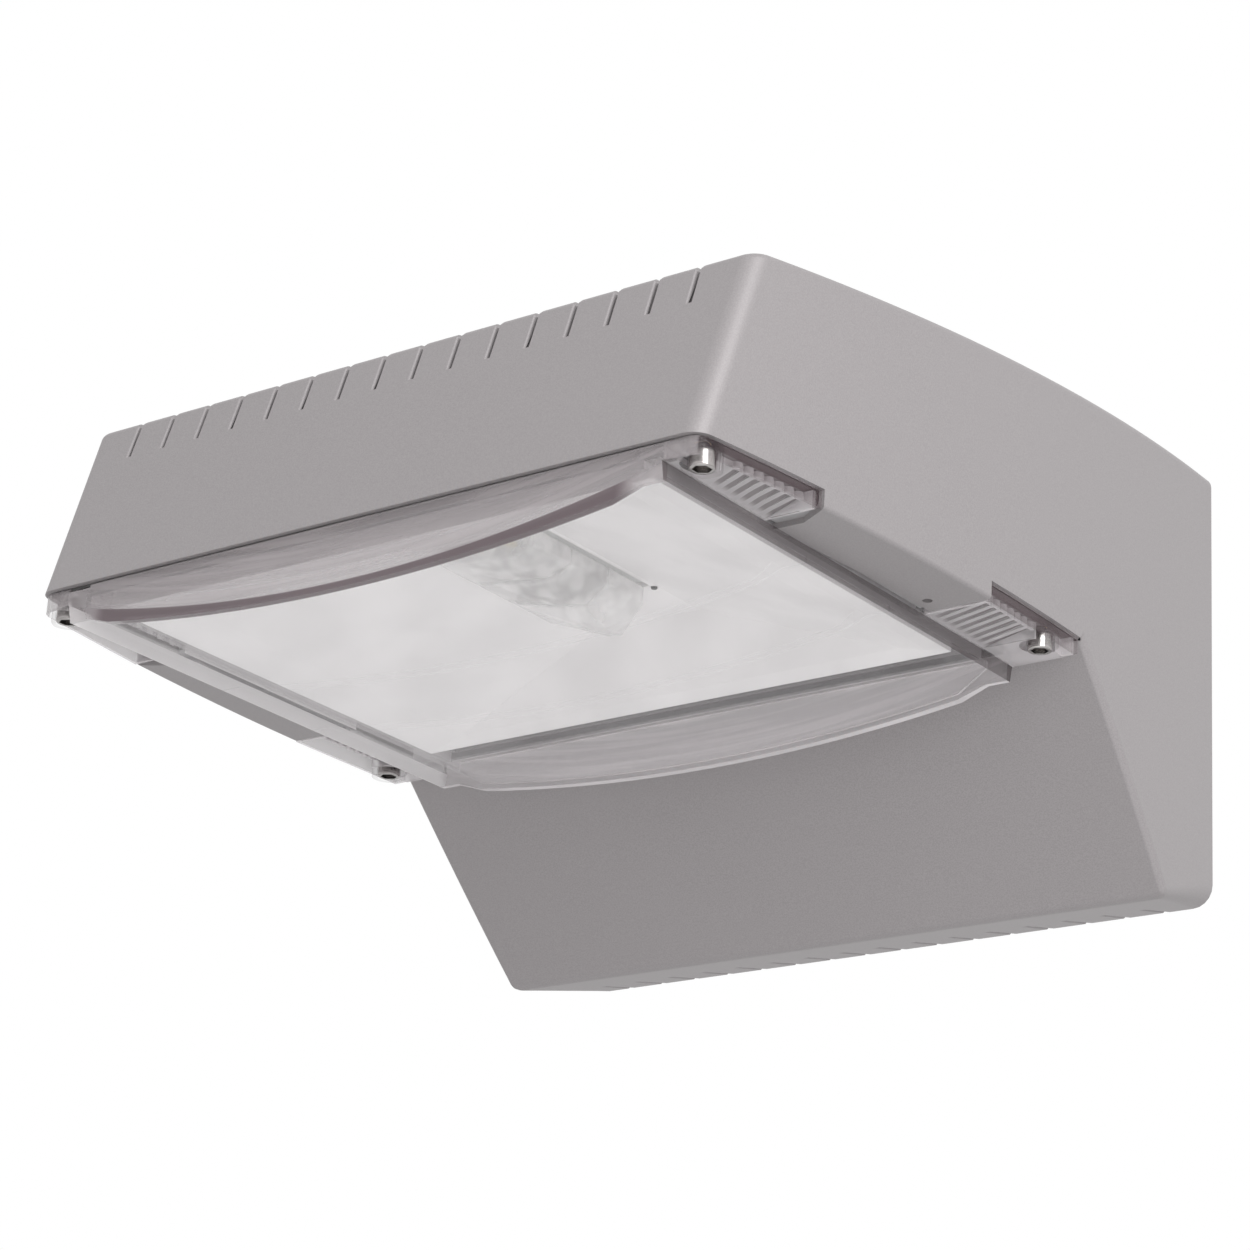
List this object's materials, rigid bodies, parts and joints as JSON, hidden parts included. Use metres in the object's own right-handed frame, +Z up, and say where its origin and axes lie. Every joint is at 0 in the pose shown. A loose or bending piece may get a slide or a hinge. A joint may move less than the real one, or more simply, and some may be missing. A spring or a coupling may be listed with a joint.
{
  "type": "emergency light",
  "caption": "Wall-mounted outdoor emergency light: painted sheet hood with vent slots, sealed lamp base, white reflector and bowed clear cover held by corner screws.",
  "frame": {"origin": "on the wall plane, in the middle of the wall plate's four fixing slots, which is also the middle of the hood's rear outline", "axes": "+Y points into the wall, so the head stands out along -Y; +Z is up; +X runs along the wall, to the right for someone who faces the wall"},
  "size_m": [0.284, 0.3, 0.165],
  "materials": {
    "hood_paint": "satin metallic powder coat",
    "dark_screws": "blackened",
    "zinc_sheet": "zinc plated",
    "seal_rubber": "matte",
    "brass": "plain",
    "steel_screws": "zinc plated",
    "base_plastic": "fine texture",
    "gland_plastic": "smooth",
    "white_plastic": "smooth",
    "green_board": "solder resist",
    "battery_sleeve": "shrink sleeve",
    "reflector_white": "satin white",
    "heat_sink_metal": "extruded",
    "white_board": "solder resist",
    "chip_yellow": "satin",
    "lens_clear": "clear moulding",
    "indicator_green": "clear",
    "supply_insulation": "smooth",
    "battery_insulation": "smooth",
    "light_insulation": "smooth",
    "cover_clear": "clear moulding, faint grey tint",
    "cover_screw_steel": "bright"
  },
  "bodies": {
    "housing": {"hood": "hood_paint", "hood_lock_screws": "dark_screws", "wall_plate": "zinc_sheet", "wall_seal": "seal_rubber", "cable_grommet": "seal_rubber", "earth_stud": "brass", "support_arm_left": "zinc_sheet", "support_arm_right": "zinc_sheet", "arm_screws": "steel_screws", "lamp_base": "base_plastic", "thread_inserts": "brass", "cable_gland": "gland_plastic", "gland_seal": "seal_rubber", "gland_nut": "gland_plastic", "terminal_block": "white_plastic", "terminal_screws": "brass", "driver_case": "white_plastic", "driver_board": "green_board", "driver_lid": "white_plastic", "battery_cells": "battery_sleeve", "battery_clips": "white_plastic", "battery_plug": "white_plastic", "reflector": "reflector_white", "reflector_clips": "white_plastic", "heat_sink": "heat_sink_metal", "led_board": "white_board", "led_chips": "chip_yellow", "led_lens": "lens_clear", "indicator_light": "indicator_green", "supply_wires": "supply_insulation", "battery_wires": "battery_insulation", "led_wires": "light_insulation"},
    "cover": {"clear_cover": "cover_clear", "cover_seal": "seal_rubber", "screw_seals": "seal_rubber"},
    "screw_front_right": {"cover_screw_front_right": "cover_screw_steel"},
    "screw_front_left": {"cover_screw_front_left": "cover_screw_steel"},
    "screw_rear_right": {"cover_screw_rear_right": "cover_screw_steel"},
    "screw_rear_left": {"cover_screw_rear_left": "cover_screw_steel"}
  },
  "joints": [
    {"name": "cover_drop", "type": "slide", "parent": "housing", "child": "cover", "axis": [0, 0, -1], "range_m": [0, 0.12]},
    {"name": "screw_front_right_turn", "type": "hinge", "parent": "cover", "child": "screw_front_right", "pos_m": [0.125, -0.2905, -0.025], "axis": [0, 0, 1], "continuous": true},
    {"name": "screw_front_left_turn", "type": "hinge", "parent": "cover", "child": "screw_front_left", "pos_m": [-0.125, -0.2905, -0.025], "axis": [0, 0, 1], "continuous": true},
    {"name": "screw_rear_right_turn", "type": "hinge", "parent": "cover", "child": "screw_rear_right", "pos_m": [0.134, -0.121, -0.025], "axis": [0, 0, 1], "continuous": true},
    {"name": "screw_rear_left_turn", "type": "hinge", "parent": "cover", "child": "screw_rear_left", "pos_m": [-0.134, -0.121, -0.025], "axis": [0, 0, 1], "continuous": true}
  ]
}
